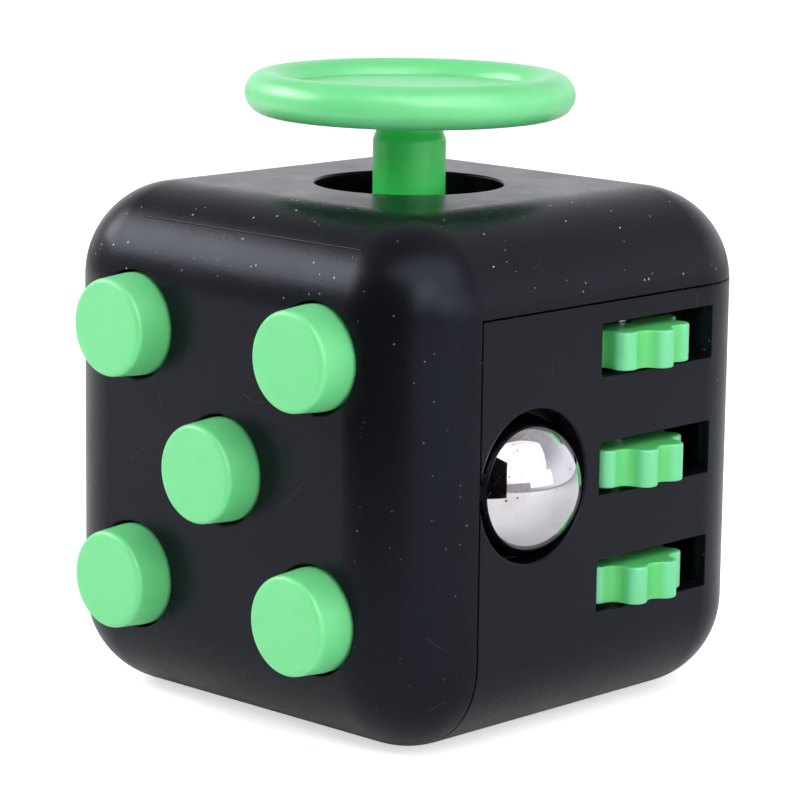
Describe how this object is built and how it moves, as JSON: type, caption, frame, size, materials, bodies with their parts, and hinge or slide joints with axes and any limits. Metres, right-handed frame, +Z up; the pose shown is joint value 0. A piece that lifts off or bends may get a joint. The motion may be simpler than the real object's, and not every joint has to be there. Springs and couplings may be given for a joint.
{
  "type": "fidget cube",
  "caption": "Pocket desk toy: a rounded plastic cube with push buttons, a thumb joystick, a rolling steel ball, gear wheels, a rocker switch, a spin dial and a thumb hollow.",
  "frame": {"origin": "on the ground, under the centre of the cube", "axes": "+Z up, through the joystick; -Y out of the button face; +X out of the face with the ball and the gear wheels; -X out of the rocker face; +Y out of the dial face"},
  "size_m": [0.0379, 0.0373, 0.0401],
  "materials": {
    "black_shell": "moulded ABS, black, satin, with a very fine grain",
    "green_plastic": "moulded plastic, light green, satin gloss",
    "inner_black_plastic": "moulded nylon, black, dull",
    "polished_steel_ball": "polished bearing ball",
    "spring_steel": "bright spring steel",
    "silicone": "translucent white silicone rubber",
    "pin_steel": "ground steel wire",
    "zinc_plated_steel": "zinc-plated steel",
    "white_nylon": "moulded nylon, natural white"
  },
  "bodies": {
    "root": {"upper_shell": "black_shell", "lower_shell": "black_shell", "button_plate": "inner_black_plastic", "joystick_yoke": "inner_black_plastic", "joystick_spring": "spring_steel", "gimbal_pin_front": "pin_steel", "gimbal_pin_back": "pin_steel", "ball_bracket": "inner_black_plastic", "ball_spring": "spring_steel", "gear_bracket": "inner_black_plastic", "gear_axle": "pin_steel", "gear_detent_spring": "spring_steel", "rocker_bracket": "inner_black_plastic", "rocker_pin": "pin_steel", "dome_top_left": "silicone", "dome_top_right": "spring_steel", "dome_centre": "spring_steel", "dome_bottom_left": "spring_steel", "dome_bottom_right": "silicone", "button_plate_screw_1": "zinc_plated_steel", "button_plate_screw_2": "zinc_plated_steel", "button_plate_screw_3": "zinc_plated_steel", "yoke_screw_1": "zinc_plated_steel", "yoke_screw_2": "zinc_plated_steel", "ball_bracket_screw_1": "zinc_plated_steel", "ball_bracket_screw_2": "zinc_plated_steel", "gear_bracket_screw_1": "zinc_plated_steel", "gear_bracket_screw_2": "zinc_plated_steel", "rocker_bracket_screw_1": "zinc_plated_steel", "rocker_bracket_screw_2": "zinc_plated_steel"},
    "button_top_left": {"button_top_left": "green_plastic"},
    "button_top_right": {"button_top_right": "green_plastic"},
    "button_centre": {"button_centre": "green_plastic"},
    "button_bottom_left": {"button_bottom_left": "green_plastic"},
    "button_bottom_right": {"button_bottom_right": "green_plastic"},
    "gimbal": {"gimbal_ring": "inner_black_plastic", "stick_pin": "pin_steel"},
    "joystick": {"joystick": "green_plastic", "spring_seat": "inner_black_plastic"},
    "ball_carrier": {"ball_carrier": "inner_black_plastic"},
    "ball": {"steel_ball": "polished_steel_ball"},
    "gear_top": {"gear_wheel_top": "green_plastic"},
    "gear_middle": {"gear_wheel_middle": "green_plastic"},
    "gear_bottom": {"gear_wheel_bottom": "green_plastic"},
    "rocker": {"rocker": "green_plastic", "rocker_plunger": "white_nylon", "rocker_spring": "spring_steel"},
    "dial": {"dial": "green_plastic", "dial_washer": "zinc_plated_steel", "dial_screw": "zinc_plated_steel"}
  },
  "joints": [
    {"name": "button_top_left_press", "type": "slide", "parent": "root", "child": "button_top_left", "axis": [0, 1, 0], "range_m": [0, 0.001], "stiffness_N_per_m": 400, "springref_m": -0.0004, "deforming": ["dome_top_left"]},
    {"name": "button_top_right_press", "type": "slide", "parent": "root", "child": "button_top_right", "axis": [0, 1, 0], "range_m": [0, 0.001], "stiffness_N_per_m": 700, "springref_m": -0.0004, "deforming": ["dome_top_right"]},
    {"name": "button_centre_press", "type": "slide", "parent": "root", "child": "button_centre", "axis": [0, 1, 0], "range_m": [0, 0.001], "stiffness_N_per_m": 700, "springref_m": -0.0004, "deforming": ["dome_centre"]},
    {"name": "button_bottom_left_press", "type": "slide", "parent": "root", "child": "button_bottom_left", "axis": [0, 1, 0], "range_m": [0, 0.001], "stiffness_N_per_m": 700, "springref_m": -0.0004, "deforming": ["dome_bottom_left"]},
    {"name": "button_bottom_right_press", "type": "slide", "parent": "root", "child": "button_bottom_right", "axis": [0, 1, 0], "range_m": [0, 0.001], "stiffness_N_per_m": 400, "springref_m": -0.0004, "deforming": ["dome_bottom_right"]},
    {"name": "joystick_tilt_sideways", "type": "hinge", "parent": "root", "child": "gimbal", "pos_m": [0, 0, 0.02], "axis": [0, 1, 0], "range_deg": [-10, 10], "stiffness_Nm_per_rad": 0.02, "deforming": ["joystick_spring"]},
    {"name": "joystick_tilt_to_and_fro", "type": "hinge", "parent": "gimbal", "child": "joystick", "pos_m": [0, 0, 0.02], "axis": [1, 0, 0], "range_deg": [-10, 10], "stiffness_Nm_per_rad": 0.02, "deforming": ["joystick_spring"]},
    {"name": "ball_press", "type": "slide", "parent": "root", "child": "ball_carrier", "axis": [-1, 0, 0], "range_m": [0, 0.001], "stiffness_N_per_m": 800, "springref_m": -0.0004, "deforming": ["ball_spring"]},
    {"name": "ball_roll", "type": "hinge", "parent": "ball_carrier", "child": "ball", "pos_m": [0.01438, -0.00587, 0.01638], "axis": [0, 1, 0], "continuous": true},
    {"name": "gear_top_spin", "type": "hinge", "parent": "root", "child": "gear_top", "pos_m": [0.01345, 0.00505, 0.02391], "axis": [0, 0, 1], "continuous": true},
    {"name": "gear_middle_spin", "type": "hinge", "parent": "root", "child": "gear_middle", "pos_m": [0.01345, 0.00505, 0.01642], "axis": [0, 0, 1], "continuous": true},
    {"name": "gear_bottom_spin", "type": "hinge", "parent": "root", "child": "gear_bottom", "pos_m": [0.01345, 0.00505, 0.00893], "axis": [0, 0, 1], "continuous": true},
    {"name": "rocker_flip", "type": "hinge", "parent": "root", "child": "rocker", "pos_m": [-0.0136, 0, 0.0165], "axis": [0, 1, 0], "range_deg": [0, 24]},
    {"name": "dial_spin", "type": "hinge", "parent": "root", "child": "dial", "pos_m": [0, 0.0165, 0.0165], "axis": [0, 1, 0], "continuous": true}
  ]
}
